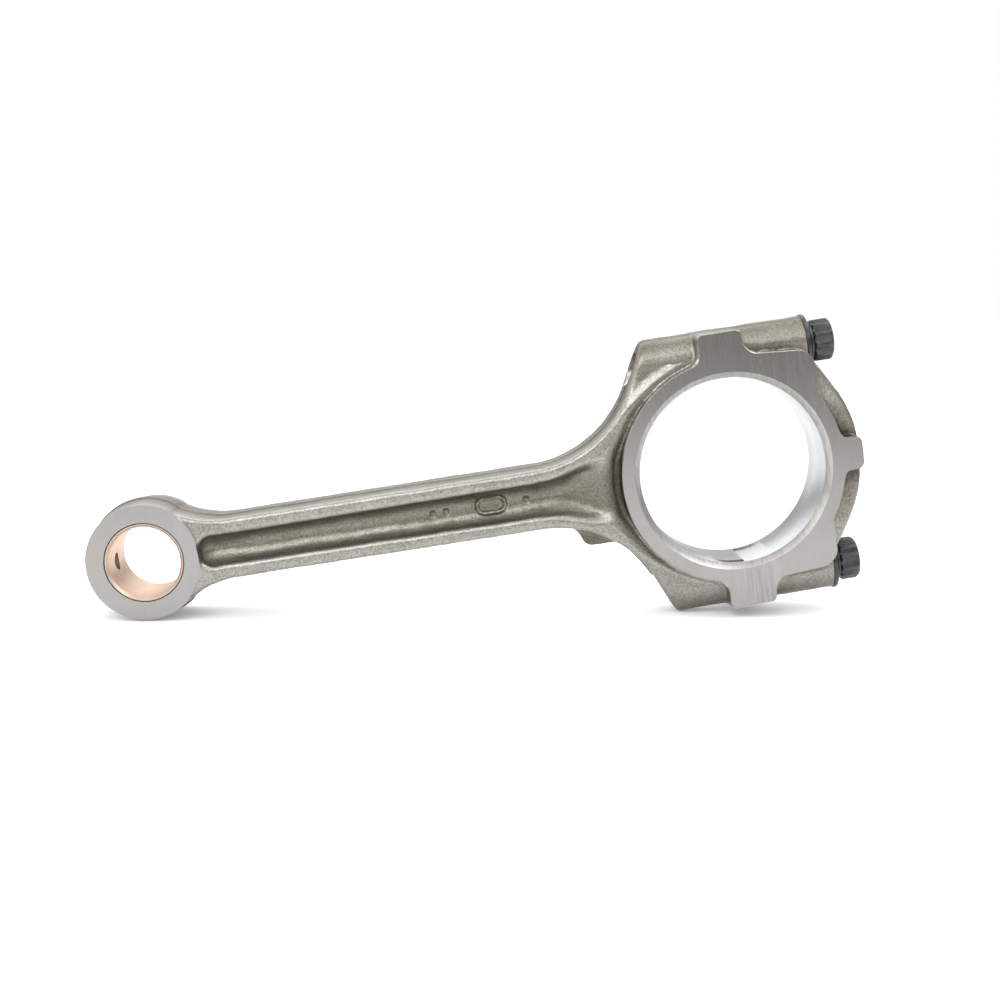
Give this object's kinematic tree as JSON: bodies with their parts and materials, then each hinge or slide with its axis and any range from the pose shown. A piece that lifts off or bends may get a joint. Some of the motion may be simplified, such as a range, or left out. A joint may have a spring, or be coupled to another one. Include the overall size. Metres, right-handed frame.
{
  "type": "connecting rod",
  "caption": "Forged I-beam connecting rod with a bolted bearing cap over a split crankpin bore and a bronze bush with an oil hole in its pin end.",
  "frame": {"origin": "centre of the crankpin bore, halfway through its width and on the parting face", "axes": "+X from the small end towards the bearing cap, +Y along both bores, +Z across the two cap bolts"},
  "size_m": [0.1987, 0.0214, 0.0716],
  "materials": {
    "forged_steel": "shot-blasted forging, ground on its faces and bores",
    "bush_bronze": "fine-bored bronze",
    "bolt_steel": "black oxide",
    "dowel_steel": "ground"
  },
  "bodies": {
    "rod": {"rod_beam": "forged_steel", "small_end_bush": "bush_bronze", "ring_dowel_upper": "dowel_steel", "ring_dowel_lower": "dowel_steel"},
    "cap": {"bearing_cap": "forged_steel"},
    "bolt_upper": {"cap_bolt_upper": "bolt_steel"},
    "bolt_lower": {"cap_bolt_lower": "bolt_steel"}
  },
  "joints": [
    {"name": "cap_lift", "type": "slide", "parent": "rod", "child": "cap", "axis": [1, 0, 0], "range_m": [0, 0.045]},
    {"name": "bolt_upper_draw", "type": "slide", "parent": "cap", "child": "bolt_upper", "axis": [1, 0, 0], "range_m": [0, 0.045]},
    {"name": "bolt_lower_draw", "type": "slide", "parent": "cap", "child": "bolt_lower", "axis": [1, 0, 0], "range_m": [0, 0.045]}
  ]
}
